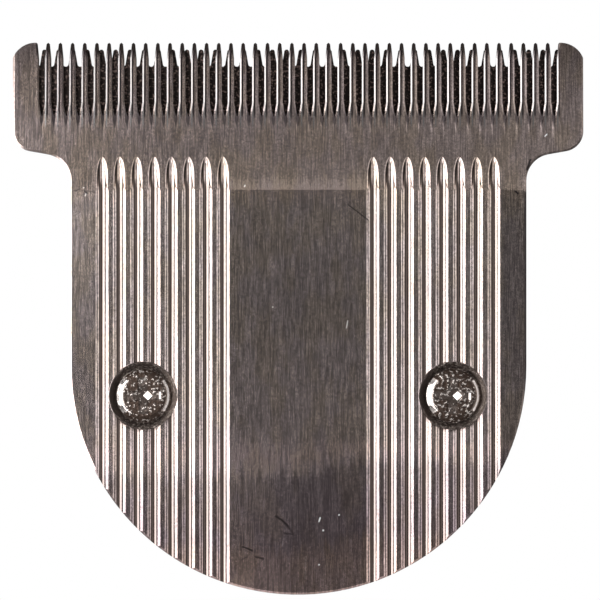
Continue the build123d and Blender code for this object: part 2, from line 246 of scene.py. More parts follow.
def math_node(tree, operation, a, b=0.0, c=0.0, clamp=False):
    """One Math node's output."""
    return wire(tree, "Math", {0: a, 1: b, 2: c}, operation=operation, use_clamp=clamp).outputs[0]


def vector(tree, operation, a, b, output=0):
    """One Vector Math node's output."""
    return wire(tree, "VectorMath", {0: a, 1: b}, operation=operation).outputs[output]


def here(tree):
    """The place on the object, in its own frame."""
    return wire(tree, "TexCoord").outputs["Object"]


def axes(tree):
    """The place on the object as X, Y and Z."""
    return wire(tree, "SeparateXYZ", {0: here(tree)}).outputs


def ramp(tree, value, low, high, to_low=0.0, to_high=1.0):
    """A smooth step of value between low and high."""
    links = {"Value": value, "From Min": low, "From Max": high, "To Min": to_low, "To Max": to_high}
    return wire(tree, "MapRange", links, interpolation_type="SMOOTHSTEP").outputs["Result"]


def times(tree, *values):
    """Numbers multiplied together."""
    result = values[0]
    for value in values[1:]:
        result = math_node(tree, "MULTIPLY", result, value)
    return result


def plus(tree, a, b):
    """The sum of two numbers."""
    return math_node(tree, "ADD", a, b)


def minus(tree, a, b):
    """The first number less the second."""
    return math_node(tree, "SUBTRACT", a, b)


def larger(tree, a, b):
    """The larger of two numbers."""
    return math_node(tree, "MAXIMUM", a, b)


def unsigned(tree, value):
    """A number without its sign."""
    return math_node(tree, "ABSOLUTE", value)


def gain(tree, mask, strength, base=1.0):
    """A base number, raised by the strength where the mask is 1."""
    return math_node(tree, "MULTIPLY_ADD", mask, strength, base)


def blend_colour(tree, factor, a, b):
    """Mix of two colours."""
    return wire(tree, "Mix", {0: factor, 6: a, 7: b}, data_type="RGBA").outputs[2]


def opaque(rgb):
    """A colour property as four numbers."""
    return (*rgb, 1.0)


def tint_by(tree, base, tint):
    """A colour multiplied by another."""
    return wire(tree, "Mix", {0: 1.0, 6: base, 7: tint}, data_type="RGBA", blend_type="MULTIPLY").outputs[2]


def scale_by(tree, base, factor):
    """A colour multiplied by a number."""
    return wire(tree, "VectorMath", {0: base, "Scale": factor}, operation="SCALE").outputs[0]


def distance(tree, x, y):
    """Distance of (x, y) from the origin."""
    return math_node(tree, "SQRT", math_node(tree, "MULTIPLY_ADD", x, x, times(tree, y, y)))


# Smooth steps on the plate and the screws, in mm: where each starts and ends, and the two lengths that
# it goes between where it isn't a mask from 0 to 1.
BORDERS = {
    "heel": (-8, -10),
    "heel slope": (0.0, 4.5, 0.0, 0.9),
    "heel corner": (1.0, -5.5),
    "middle": (4.95, 4.75),
    "crease": (1.2, 0.12),
    "crease start": (0.0, 0.06),
    "margin top": (9.5, 9.3),
    "left margin": (-13.9, -14.5),
    "left margin length": (-5, 4),
    "right margin": (13.9, 14.5),
    "ear": (18.2, 18.8),
    "ear length": (12, 18),
    "land length": (9.1, 8.9),
    "groove_floor": (0.085, 0.13),
    "bevel": (-0.1, 0.3),
    "level": (0.03, 0.01),
    "arch": (0.08, 0.14),
    "trough": (0.09, 0.12),
    # Painted shade on the grooves' left walls.
    "crust drift": (0.0, 0.8, 0.0, 0.07),
    "crust border": (0.0, 0.8, 0.04, -0.06),
    "crust right": (0.07, -0.05),
    "crust left": (-0.26, -0.2),
    "groove field": (-0.2, -0.1),
    "between the ears": (18.4, 18.3),
    # Painted shade behind the slots' ends.
    "soot width": (13.2, 14.1, 0.01, 0.12),
    "soot side": (0.04, -0.02),
    "soot length": (13.0, 13.9),
    "run-out length": (12.2, 14.2),
    "tooth root": (13.2, 13.8),
    "tooth length": (13.9, 14.4),
    "tooth top": (0.02, 0.01),
    "nose": (18.1, 18.8),
    "right edge": (15.83, 15.89),
    "right edge length": (9.0, 8.8),
    "slot wall": (0.12, 0.24),
    "seat": (2.41, 2.35),
    "nick": (2.65, 2.4),
    "nick length": (-0.9, -2),
    # Painted light on the seats' right walls.
    "painted_light": (0.9, 2.1),
    "flecks": (-1.9, -1.2),
    "rub right": (0.0, 0.6, 0.0, 0.2),
    "rub ends": (0.95, 1.4, 0.0, 0.6),
    "rubbed": (0.0, 0.16),
    "arm side": (0.36, 0.26),
    "arm length": (1.34, 1.26),
    "glint": (0.4, 0.32),
}
# Soft-edged strips, in mm: where each begins and ends, and half the width of its soft borders.
STRIPS = {
    "lands": (4.75, 14.2, 0.1),
    "comb": (13.75, 18.65, 0.1),
    "left edge of a tooth": (0.2, 0.3, 0.02),
    "right edge of a tooth": (-0.4, -0.28, 0.02),
    "beside a slot": (0.3, 0.5, 0.02),
    "arm end": (1.1, 1.3, 0.03),
}
# Smooth steps on the noises, whose values lie between 0 and 1.
NOISE = {
    "streaks": (0.38, 0.62),
    "mottle": (0.3, 0.7),
    "olive": (0.4, 0.62),
    "nick": (0.4, 0.52),
    "flecks": (0.5, 0.66),
    "rust": (0.54, 0.66),
    "screw dirt": (0.64, 0.56),
}
# How much brighter or darker each place of the plate is: painted shade on the ears, the right margin and the
# tooth tips, painted light on the left margin and the teeth's right edges, a painted highlight on the bevel's
# crease and the heel's left corner; the lands are brighter.
GAINS = {
    "ears": -0.25,
    "left margin": 0.14,
    "right margin": -0.28,
    "lands": 0.2,
    "crease and corner": 0.5,
    "tone_shift": 0.22,
    "nose": -0.85,
}
# How far each kind of dirt, bare metal, darker groove floor, painted shade and painted highlight covers what
# lies under it.
COVER = {
    "groove_floor": 0.8,
    "groove_shade": 0.9,
    "gleam": 0.8,
    "painted_shade": 0.88,
    "nick": 0.85,
    "flecks": 0.7,
    "bare cross": 0.08,
}
# How much rougher each place is, and how much less metallic grime is.
ROUGHER = {
    "streaks": 0.06,
    "left margin": 0.03,
    "grime": 0.2,
    "pale marks": 0.5,
    "screw dirt": 0.1,
    "grain": 0.2,
}
DULLER = {"grime": -0.6, "screw dirt": -0.3}
WHITE = (1.0, 1.0, 1.0, 1.0)
FINE_SHARE = 0.6
MOTTLE_TONE = (0.8, 1.18)
BAND_RAGGED = 2.4 * MM
MARGIN_RAGGED = 0.8 * MM
SHADE_SHIFT = 0.02 * MM
GRIME_RELIEF = (0.06 * MM, 0.2 * MM)
SCREW_GRAIN = 0.2 * MM
SCREW_ROUGHNESS = 0.16
SCREW_RELIEF = 0.09 * MM
BARE_RELIEF = 0.1
GLINT_SHIFT = 0.32 * MM


def step(tree, value, name, origin=0.0):
    """A smooth step of value at two named borders, counted from an origin."""
    start, end, *lengths = BORDERS[name]
    ends = [v * MM for v in lengths] or (0.0, 1.0)
    return ramp(tree, value, origin + start * MM, origin + end * MM, *ends)


def strip(tree, value, name):
    """1 where value lies in a named strip, with soft borders."""
    low, high, soft = (v * MM for v in STRIPS[name])
    return times(tree, ramp(tree, value, low - soft, low + soft), ramp(tree, value, high + soft, high - soft))


def streak_group():
    """Grinding streaks along Y: noises stretched along Y, fine, coarse and broad, each from 0 to 1."""
    tree, inside, outside = new_group(
        "grinding_streaks",
        [("Width", "NodeSocketFloat", 0.0001), ("Length", "NodeSocketFloat", 0.002)],
        [("Fine", "NodeSocketFloat"), ("Coarse", "NodeSocketFloat"), ("Broad", "NodeSocketFloat")],
    )
    spot = here(tree)
    across = math_node(tree, "DIVIDE", 1.0, inside.outputs["Width"])
    along = math_node(tree, "DIVIDE", 1.0, inside.outputs["Length"])
    rows = (("Fine", 1.0, 1.0, 1.0), ("Coarse", 0.35, 0.3, 2.0), ("Broad", 0.06, 0.5, 2.0))
    for label, widen, shorten, detail in rows:
        wide, long = times(tree, across, widen), times(tree, along, shorten)
        scale = wire(tree, "CombineXYZ", {0: wide, 1: long, 2: long})
        placed = vector(tree, "MULTIPLY", spot, scale.outputs[0])
        noise = wire(tree, "TexNoise", {"Vector": placed, "Scale": 1.0, "Detail": detail})
        tree.links.new(noise.outputs["Fac"], outside.inputs[label])
    return tree


def depth_group():
    """Depth below the ground front, which falls past the start of the bevel, and the place on the plate."""
    tree, inside, outside = new_group(
        "depth_below_front",
        [(label, "NodeSocketFloat", 0.0) for label in ("Front", "Start", "Fall")],
        [(label, "NodeSocketFloat") for label in ("Depth", "Across", "Side", "Along")],
    )
    side, along, height = axes(tree)
    past = larger(tree, minus(tree, along, inside.outputs["Start"]), 0.0)
    fallen = times(tree, past, inside.outputs["Fall"])
    surface = minus(tree, inside.outputs["Front"], fallen)
    depth, across = minus(tree, surface, height), unsigned(tree, side)
    connect(tree, outside, {"Depth": depth, "Across": across, "Side": side, "Along": along})
    return tree


def scratch_group():
    """A straight mark: 1 within half the width of the line from start to end in XY, 0 outside it."""
    tree, inside, outside = new_group(
        "scratch",
        [
            ("Start", "NodeSocketVector", (0, 0, 0)),
            ("End", "NodeSocketVector", (0.001, 0, 0)),
            ("Width", "NodeSocketFloat", 0.0001),
        ],
        [("Mask", "NodeSocketFloat")],
    )
    solid, least_square = 0.4, 1e-12
    spot = here(tree)
    flat = vector(tree, "MULTIPLY", spot, (1, 1, 0))
    start, end = inside.outputs["Start"], inside.outputs["End"]
    run = vector(tree, "SUBTRACT", end, start)
    reach = vector(tree, "SUBTRACT", flat, start)
    dot = vector(tree, "DOT_PRODUCT", reach, run, "Value")
    square = vector(tree, "DOT_PRODUCT", run, run, "Value")
    part = math_node(tree, "DIVIDE", dot, larger(tree, square, least_square), clamp=True)
    near = scale_by(tree, run, part)
    off = vector(tree, "DISTANCE", reach, near, "Value")
    half = times(tree, inside.outputs["Width"], 0.5)
    tree.links.new(ramp(tree, off, half, times(tree, half, solid)), outside.inputs["Mask"])
    return tree


def grain_group():
    """Pitted grain: noise of one size, from 0 to 1, and a broad mottle."""
    tree, inside, outside = new_group(
        "grain",
        [("Size", "NodeSocketFloat", 0.0001)],
        [("Grain", "NodeSocketFloat"), ("Mottle", "NodeSocketFloat")],
    )
    spot = here(tree)
    scale = math_node(tree, "DIVIDE", 1.0, inside.outputs["Size"])
    for label, widen in (("Grain", 1.0), ("Mottle", 0.08)):
        noise = wire(tree, "TexNoise", {"Vector": spot, "Scale": times(tree, scale, widen), "Detail": 3.0})
        tree.links.new(noise.outputs["Fac"], outside.inputs[label])
    return tree


def place_group(tree, group, **values):
    """A group node with these input values."""
    node = tree.nodes.new("ShaderNodeGroup")
    node.node_tree = group
    for label, value in values.items():
        node.inputs[label].default_value = value
    return node


def new_material(name):
    """An empty material with a Principled shader: material, tree, shader."""
    material = bpy.data.materials.new(name)
    material.use_nodes = True
    tree = material.node_tree
    tree.nodes.clear()
    shader = tree.nodes.new("ShaderNodeBsdfPrincipled")
    output = tree.nodes.new("ShaderNodeOutputMaterial")
    tree.links.new(shader.outputs["BSDF"], output.inputs["Surface"])
    return material, tree, shader


def bump(tree, shader, height, relief):
    """Bump of this height on the shader's normal."""
    node = wire(tree, "Bump", {"Height": height, "Distance": relief})
    tree.links.new(node.outputs["Normal"], shader.inputs["Normal"])


# Scratches and specks, in mm: start, end, width, and then how strong each is.
DARK_MARKS = (
    ((-1.55, -13.85), (-1.1, -14.15), 0.2, 0.7),
    ((-1.1, -14.15), (-0.75, -14.5), 0.22, 0.8),
    ((-0.75, -14.5), (-0.35, -15.05), 0.2, 0.5),
    ((-0.95, -15.05), (-0.35, -15.1), 0.2, 0.5),
    ((-3.85, -16.0), (-3.2, -16.25), 0.18, 0.75),
    ((-2.95, -16.7), (-2.4, -16.85), 0.18, 0.7),
    ((-3.9, -16.85), (-3.55, -16.7), 0.14, 0.5),
    ((0.05, -11.2), (0.02, -16.0), 0.1, 0.35),
    ((3.54, 7.96), (4.92, 6.9), 0.12, 0.8),
    ((16.29, 11.12), (16.05, 10.45), 0.2, 0.9),
    ((15.2, 8.92), (15.42, 8.76), 0.17, 0.95),
    ((-15.65, 8.97), (-15.3, 9.05), 0.12, 0.45),
    ((-14.95, 8.95), (-14.75, 8.75), 0.13, 0.7),
    ((-14.5, 8.9), (-14.2, 8.82), 0.12, 0.45),
    ((-15.15, 8.62), (-15.1, 8.55), 0.12, 0.4),
    ((-13.75, 7.4), (-13.73, 7.38), 0.13, 0.6),
)
PALE_MARKS = (
    ((1.47, -14.22), (1.56, -13.95), 0.1, 1.0),
    ((1.76, -14.85), (1.77, -14.83), 0.14, 1.0),
    ((2.87, -13.76), (2.88, -13.75), 0.12, 0.9),
    ((1.47, -17.25), (1.48, -17.24), 0.11, 0.9),
    ((0.56, -16.7), (0.5, -18.2), 0.07, 0.12),
    ((-3.3, -17.55), (-3.42, -17.75), 0.08, 0.14),
    ((-0.98, -15.3), (-1.12, -16.0), 0.07, 0.1),
    ((3.48, -0.16), (3.4, -0.65), 0.09, 0.5),
    ((-1.77, 0.8), (-1.76, 0.81), 0.09, 0.3),
    ((-3.74, 9.26), (-3.71, 9.33), 0.11, 0.6),
    ((17.32, 12.77), (17.46, 12.93), 0.11, 1.0),
    ((15.8, 8.5), (15.62, 7.8), 0.08, 0.1),
    ((14.85, 8.6), (14.78, 8.1), 0.08, 0.1),
    ((-14.9, 8.62), (-14.86, 8.72), 0.11, 0.45),
    ((-15.05, 9.15), (-15.0, 9.18), 0.11, 0.35),
)


def marks(tree, group, rows):
    """The strongest of several straight marks, each with a width and a strength."""
    total = 0.0
    for (x0, y0), (x1, y1), width, strength in rows:
        node = place_group(
            tree, group, Start=(x0 * MM, y0 * MM, 0), End=(x1 * MM, y1 * MM, 0), Width=width * MM
        )
        total = larger(tree, total, times(tree, node.outputs["Mask"], strength))
    return total


def put(node_name, material):
    """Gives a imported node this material."""
    slots = NODES[node_name].material_slots
    if not slots:
        raise RuntimeError(f"{node_name} has no material slot")
    for slot in slots:
        slot.material = material


# Bands of darker and lighter tone along Y: distance along Y in mm, and the tint there.
BANDS = (
    (-19.4, (0.93, 0.82, 0.84)),
    (-16.6, (0.72, 0.64, 0.66)),
    (-15.7, (0.57, 0.53, 0.60)),
    (-11.35, (0.64, 0.62, 0.68)),
    (-10.55, (1.06, 1.02, 1.08)),
    (-9.6, (1.25, 1.18, 1.24)),
    (-8.4, (1.0, 0.98, 1.02)),
    (-5.7, (1.0, 0.99, 1.02)),
    (1.3, (0.82, 0.82, 0.85)),
    (7.6, (0.92, 0.92, 0.94)),
    (9.0, (1.05, 1.01, 0.98)),
    (11.5, (0.88, 0.85, 0.85)),
    (13.4, (0.86, 0.83, 0.84)),
    (16.5, (0.76, 0.73, 0.75)),
    (19.4, (0.50, 0.48, 0.50)),
)


def band_tone(tree, along, ragged):
    """Bands of darker and lighter tone: a tint for each distance along Y, with ragged borders."""
    low, high = BANDS[0][0] * MM, BANDS[-1][0] * MM
    shifted = gain(tree, ragged, BAND_RAGGED, along)
    place = minus(tree, shifted, low + BAND_RAGGED / 2)
    node = wire(tree, "ValToRGB", {"Fac": math_node(tree, "DIVIDE", place, high - low)})
    stops = node.color_ramp.elements
    for y, tint in BANDS[1:-1]:
        stops.new((y * MM - low) / (high - low))
    for stop, (y, tint) in zip(stops, BANDS):
        stop.color = opaque(tint)
    return node.outputs["Color"]


def margins(plate):
    """Masks of the margins below the bevel, left and right of the grooves, with ragged tops: light is painted
    on the left one and shade on the right one.
    """
    tree, side, along = plate.tree, plate.side, plate.along
    below = step(tree, gain(tree, plate.fine, MARGIN_RAGGED, along), "margin top")
    left = times(tree, step(tree, side, "left margin"), step(tree, along, "left margin length"), below)
    return left, times(tree, step(tree, side, "right margin"), below)


def groove_place(plate):
    """Signed distance from the nearest groove's middle, and how far inside that groove's rounded end."""
    tree, finish = plate.tree, plate.finish
    count = minus(tree, plate.across, finish.groove_first)
    count = math_node(tree, "ROUND", math_node(tree, "DIVIDE", count, finish.groove_pitch))
    count = math_node(tree, "MINIMUM", larger(tree, count, 0.0), finish.groove_last)
    centre = gain(tree, count, finish.groove_pitch, finish.groove_first)
    off = minus(tree, plate.across, centre)
    inward = minus(tree, finish.groove_tip, plate.along)
    inward = math_node(tree, "DIVIDE", inward, finish.groove_arch, clamp=True)
    short = minus(tree, 1.0, inward)
    arch = math_node(tree, "SQRT", minus(tree, 1.0, times(tree, short, short)))
    arch = times(tree, arch, finish.groove_lip)
    inside = minus(tree, arch, unsigned(tree, off))
    return times(tree, off, math_node(tree, "SIGN", plate.side)), inside


def groove_lips(tree, inside):
    """Height of the rounded lips at the grooves' ends: a trough with soft borders."""
    border, slope = 0.1 * MM, -0.45
    soft = math_node(tree, "DIVIDE", inside, border, clamp=True)
    soft = times(tree, soft, soft, border / 2)
    steep = larger(tree, minus(tree, inside, border), 0.0)
    return times(tree, plus(tree, soft, steep), slope)


def slot_place(tree, finish, side):
    """Signed distance from the middle of the nearest tooth slot."""
    count = math_node(tree, "ROUND", math_node(tree, "DIVIDE", side, finish.slot_pitch))
    return minus(tree, side, times(tree, count, finish.slot_pitch))


def slot_runouts(tree, off, along, inner):
    """Height of the grinding run-outs behind the slots: troughs, steep on the left, that fade along Y."""
    steep, gentle, deepest = 0.12 * MM, 0.3 * MM, -0.012 * MM
    left = math_node(tree, "DIVIDE", plus(tree, off, steep), steep, clamp=True)
    right = math_node(tree, "DIVIDE", minus(tree, gentle, off), gentle, clamp=True)
    trough = math_node(tree, "MINIMUM", left, right)
    return times(tree, trough, times(tree, step(tree, along, "run-out length"), inner, deepest))


def ground_steel(plate, streaks):
    """Colour of the ground steel: pale and dark streaks, a mottle, a broad tinge and bands of darker and
    lighter tone along Y.
    """
    tree, finish = plate.tree, plate.finish
    steel = ramp(tree, streaks, *NOISE["streaks"])
    steel = blend_colour(tree, steel, opaque(finish.dark), opaque(finish.pale))
    steel = scale_by(tree, steel, ramp(tree, plate.grain, *NOISE["mottle"], *MOTTLE_TONE))
    tinge = blend_colour(tree, ramp(tree, plate.broad, *NOISE["olive"]), WHITE, opaque(finish.olive))
    slope = times(tree, plate.heel, step(tree, plate.side, "heel slope"))
    tone_shift = band_tone(tree, minus(tree, plate.along, slope), plate.coarse)
    return tint_by(tree, tint_by(tree, steel, tinge), tone_shift)


def toning_steel(plate, steel, left, right):
    """The steel with painted light and shade: the left margin lighter and the right margin and the ears
    darker, as the light falls, a painted highlight on the bevel's crease and the heel's left corner, and
    brighter lands; its red is 1 at most, so that its hue holds.
    """
    tree, across, along, start = plate.tree, plate.across, plate.along, plate.finish.bevel_start
    ears = times(tree, step(tree, across, "ear"), step(tree, along, "ear length"))
    lands = times(tree, strip(tree, across, "lands"), step(tree, along, "land length"))
    # Painted highlight: a band along the bevel's crease and the heel's left corner, in the middle of the
    # plate.
    crease = times(tree, step(tree, along, "crease", start), step(tree, along, "crease start", start))
    corner = times(tree, plate.heel, step(tree, plate.side, "heel corner"))
    bright = times(tree, plus(tree, crease, corner), step(tree, across, "middle"))
    # Painted shade on the ears and the right margin, painted light on the left margin; the lands are
    # brighter.
    toning = gain(tree, ears, GAINS["ears"])
    toning = gain(tree, left, GAINS["left margin"], toning)
    toning = gain(tree, right, GAINS["right margin"], toning)
    toning = gain(tree, lands, GAINS["lands"], toning)
    steel = scale_by(tree, steel, gain(tree, bright, GAINS["crease and corner"], toning))
    red = wire(tree, "SeparateColor", {0: steel}).outputs["Red"]
    return scale_by(tree, steel, math_node(tree, "DIVIDE", 1.0, larger(tree, red, 1.0)))


def darker_grooves(plate, steel, off, inside, on_bevel):
    """The steel darker on the grooves' floors, the deeper they lie, and with painted shade on the grooves'
    left walls, which face away from the key light.
    """
    tree, finish, depth, along = plate.tree, plate.finish, plate.depth, plate.along
    # The grooves' floors are darker the deeper they lie.
    sunk = times(tree, step(tree, depth, "groove_floor"), COVER["groove_floor"])
    steel = blend_colour(tree, sunk, steel, opaque(finish.groove_floor))
    # Painted shade: the left wall of each groove, which faces away from the key light, takes the grime
    # colour.
    trough = times(tree, step(tree, inside, "arch"), on_bevel)
    trough = larger(tree, trough, step(tree, depth, "trough"))
    drifted = plus(tree, off, step(tree, along, "crust drift", finish.bevel_start))
    past = minus(tree, drifted, step(tree, along, "crust border", finish.bevel_start))
    groove_shade = times(tree, step(tree, past, "crust right"), step(tree, drifted, "crust left"), trough)
    in_field = times(tree, step(tree, inside, "groove field"), COVER["groove_shade"])
    return blend_colour(tree, times(tree, groove_shade, in_field), steel, opaque(finish.grime))


def comb_light_and_shade(plate, steel, slot, inner):
    """The steel with painted light and shade on the comb: a neutral grey painted highlight on the teeth's
    left edges, painted light on their right edges, the tooth tips painted dark as shade, and painted shade
    behind and beside the slots and on the plate's right edge.
    """
    tree, finish, along = plate.tree, plate.finish, plate.along
    # Painted shade behind the slots' ends, on the tooth tops beside the slots and on the plate's right edge.
    aside = unsigned(tree, plus(tree, slot, SHADE_SHIFT))
    behind = minus(tree, aside, step(tree, along, "soot width"))
    behind = times(tree, step(tree, along, "soot length"), step(tree, behind, "soot side"))
    rooted = times(tree, step(tree, along, "tooth root"), inner)
    # Painted highlight: the teeth's left edges, which face the key light, are tinted neutral grey.
    gleam = times(tree, rooted, strip(tree, slot, "left edge of a tooth"), COVER["gleam"])
    steel = blend_colour(tree, gleam, steel, opaque(finish.gleam))
    # Painted light: the teeth's right edges are made brighter.
    tone_shift = times(tree, rooted, strip(tree, slot, "right edge of a tooth"))
    steel = scale_by(tree, steel, gain(tree, tone_shift, GAINS["tone_shift"]))
    # Painted shade: the tooth tips, which mirror the dark room, are made much darker.
    nose = times(tree, step(tree, along, "nose"), inner)
    steel = scale_by(tree, steel, gain(tree, nose, GAINS["nose"]))
    beside = times(tree, step(tree, along, "tooth length"), step(tree, plate.depth, "tooth top"))
    beside = times(tree, beside, strip(tree, slot, "beside a slot"))
    painted_shade = times(tree, larger(tree, behind, beside), inner)
    edge = times(tree, step(tree, plate.side, "right edge"), step(tree, along, "right edge length"))
    painted_shade = times(tree, larger(tree, painted_shade, edge), COVER["painted_shade"])
    return blend_colour(tree, painted_shade, steel, opaque(finish.stain_and_shade))


def seat_grime_light_and_shade(plate, steel, inner):
    """The steel with grime in and below the screw seats, painted light on the seats' right walls and painted
    shade on the slots' walls; its mask, and the seats'.
    """
    tree, finish, grain = plate.tree, plate.finish, plate.grain
    screw_low, screw_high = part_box("right_screw")
    sx = minus(tree, plate.across, (screw_low[0] + screw_high[0]) / 2)
    sy = minus(tree, plate.along, (screw_low[1] + screw_high[1]) / 2)
    from_screw = distance(tree, sx, sy)
    seat = step(tree, from_screw, "seat")
    nick = times(tree, step(tree, from_screw, "nick"), step(tree, sy, "nick length"))
    nick = times(tree, nick, ramp(tree, grain, *NOISE["nick"]), COVER["nick"])
    steel = blend_colour(tree, nick, steel, opaque(finish.grime))
    # Painted shade: the slots' walls take the grime colour, so that they read as dark as the shade in the
    # slots.
    comb = times(tree, strip(tree, plate.along, "comb"), inner)
    deep = larger(tree, seat, times(tree, comb, step(tree, plate.depth, "slot wall")))
    facing = times(tree, sx, math_node(tree, "SIGN", plate.side))
    # Painted light: the seats' right walls, which face the key light, are painted lighter than their left
    # walls.
    grime = blend_colour(tree, step(tree, facing, "painted_light"), opaque(finish.grime), opaque(finish.painted_light))
    flecks = times(tree, ramp(tree, grain, *NOISE["flecks"]), step(tree, facing, "flecks"))
    grime = blend_colour(tree, times(tree, flecks, seat, COVER["flecks"]), grime, opaque(finish.fleck))
    return blend_colour(tree, deep, steel, grime), deep, seat


class DressPlate(bpy.types.Operator):
    """Give the fixed blade its ground, streaked and scratched steel"""

    bl_idname = "clipper_blade.dress_plate"
    bl_label = "Fixed blade"

    def execute(self, context):
        finish = context.scene.blade_looks.steel
        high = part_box("fixed_blade")[1]
        material, tree, shader = new_material("blade_steel")
        streaks = place_group(tree, streak_group(), Width=finish.streak_width, Length=finish.streak_length)
        place = place_group(
            tree, depth_group(), Front=high[2], Start=finish.bevel_start, Fall=math.tan(finish.bevel_fall)
        )
        plate = SimpleNamespace(tree=tree, finish=finish)
        for node in (streaks, place):
            for socket in node.outputs:
                setattr(plate, socket.name.lower(), socket)
        plate.grain = place_group(tree, grain_group(), Size=finish.grain).outputs["Grain"]
        plate.heel = step(tree, plate.along, "heel")
        mixed = gain(tree, plate.coarse, 1 - FINE_SHARE, times(tree, plate.fine, FINE_SHARE))
        left, right = margins(plate)
        off, inside = groove_place(plate)
        on_bevel = step(tree, plate.along, "bevel", finish.bevel_start)
        slot = slot_place(tree, finish, plate.side)
        inner = step(tree, plate.across, "between the ears")

        steel = toning_steel(plate, ground_steel(plate, mixed), left, right)
        steel = darker_grooves(plate, steel, off, inside, on_bevel)
        steel = comb_light_and_shade(plate, steel, slot, inner)
        steel, deep, seat = seat_grime_light_and_shade(plate, steel, inner)
        scratch = scratch_group()
        steel = blend_colour(tree, marks(tree, scratch, DARK_MARKS), steel, opaque(finish.stain_and_shade))
        pale = marks(tree, scratch, PALE_MARKS)
        steel = blend_colour(tree, pale, steel, WHITE)
        rough = gain(tree, plate.fine, ROUGHER["streaks"], finish.roughness - ROUGHER["streaks"] / 2)
        rough = gain(tree, left, ROUGHER["left margin"], rough)
        rough = gain(tree, deep, ROUGHER["grime"], rough)
        rough = gain(tree, pale, ROUGHER["pale marks"], rough)
        metal = gain(tree, deep, DULLER["grime"])

        height = times(tree, mixed, finish.streak_relief)
        rugged = times(tree, deep, plate.grain, ramp(tree, seat, 0.0, 1.0, *GRIME_RELIEF))
        height = plus(tree, height, rugged)
        height = plus(tree, height, slot_runouts(tree, slot, plate.along, inner))
        plain = wire(tree, "Bump", {"Height": height, "Distance": 1.0}).outputs["Normal"]
        height = plus(tree, height, groove_lips(tree, inside))
        lipped = wire(tree, "Bump", {"Height": height, "Distance": 1.0}).outputs["Normal"]
        level = times(tree, step(tree, plate.depth, "level"), on_bevel)
        normal = wire(tree, "Mix", {0: level, 4: plain, 5: lipped}, data_type="VECTOR").outputs[1]
        looks = {"Base Color": steel, "Metallic": metal, "Roughness": rough, "Normal": normal}
        connect(tree, shader, looks)
        put("fixed_blade", material)
        return {"FINISHED"}


class DressCutter(bpy.types.Operator):
    """Give the moving cutter its ground steel, painted near black as the shade it lies in behind the slots,
    with rust specks
    """

    bl_idname = "clipper_blade.dress_cutter"
    bl_label = "Moving cutter"

    def execute(self, context):
        finish = context.scene.blade_looks.steel
        smoothest, relief = 0.25, 0.015 * MM
        material, tree, shader = new_material("cutter_steel")
        grain = place_group(tree, grain_group(), Size=finish.grain)
        specks = ramp(tree, grain.outputs["Grain"], *NOISE["rust"])
        # Painted shade: the near black base colour stands for the shade the cutter lies in; the rust specks
        # are its own.
        steel = blend_colour(tree, specks, opaque(finish.cutter), opaque(finish.rust))
        rough = gain(tree, grain.outputs["Mottle"], ROUGHER["grain"], smoothest)
        connect(tree, shader, {"Base Color": steel, "Metallic": 1.0, "Roughness": rough})
        bump(tree, shader, grain.outputs["Grain"], relief)
        put("moving_cutter", material)
        return {"FINISHED"}


def new_piece(name, points, faces, material, body, replaced):
    """A mesh piece from arrays of points and faces, dressed, riding on its body in place of a node."""
    mesh = bpy.data.meshes.new(name)
    mesh.from_pydata(points, [], faces)
    mesh.shade_smooth()
    mesh.set_sharp_from_angle(angle=math.radians(40))
    mesh.materials.append(material)
    piece = bpy.data.objects.new(name, mesh)
    bpy.context.scene.collection.objects.link(piece)
    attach(piece, body)
    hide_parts(replaced)


def ring_faces(rings, around):
    """Quads of a grid of closed rings, and fans that close the first and last ring on one point each."""
    k = np.arange(rings - 1)[:, None] * around
    j = np.arange(around)[None, :]
    n = (j + 1) % around
    quads = np.stack(np.broadcast_arrays(k + j, k + around + j, k + around + n, k + n), -1).reshape(-1, 4)
    first, last = rings * around, rings * around + 1
    j, n = j[0], n[0]
    base = (rings - 1) * around
    top = np.stack([np.full(around, first), j, n], -1)
    bottom = np.stack([base + j, np.full(around, last), base + n], -1)
    return quads.tolist() + top.tolist() + bottom.tolist()


def cross_depth(x, y, screw):
    """Depth of the cross recess at (x, y): the deeper of two crossed wings, and a pit between their flanks.

    A wing is a step that rises to its ends, the pit falls with the larger of |x| and |y|, like a pyramid.
    """
    edge, rise, fall = 0.04 * MM, 0.6, 0.5
    flank_x, flank_y = (np.clip((screw.arm / 2 + edge - np.abs(v)) / edge, 0, 1) for v in (y, x))
    step_x, step_y = (np.clip(rise * (screw.span / 2 - np.abs(u)), 0, screw.step) for u in (x, y))
    pit = fall * np.clip(screw.core / 2 - np.maximum(np.abs(x), np.abs(y)), 0, None)
    return np.maximum(step_x * flank_x, step_y * flank_y) + pit * np.maximum(flank_x, flank_y)


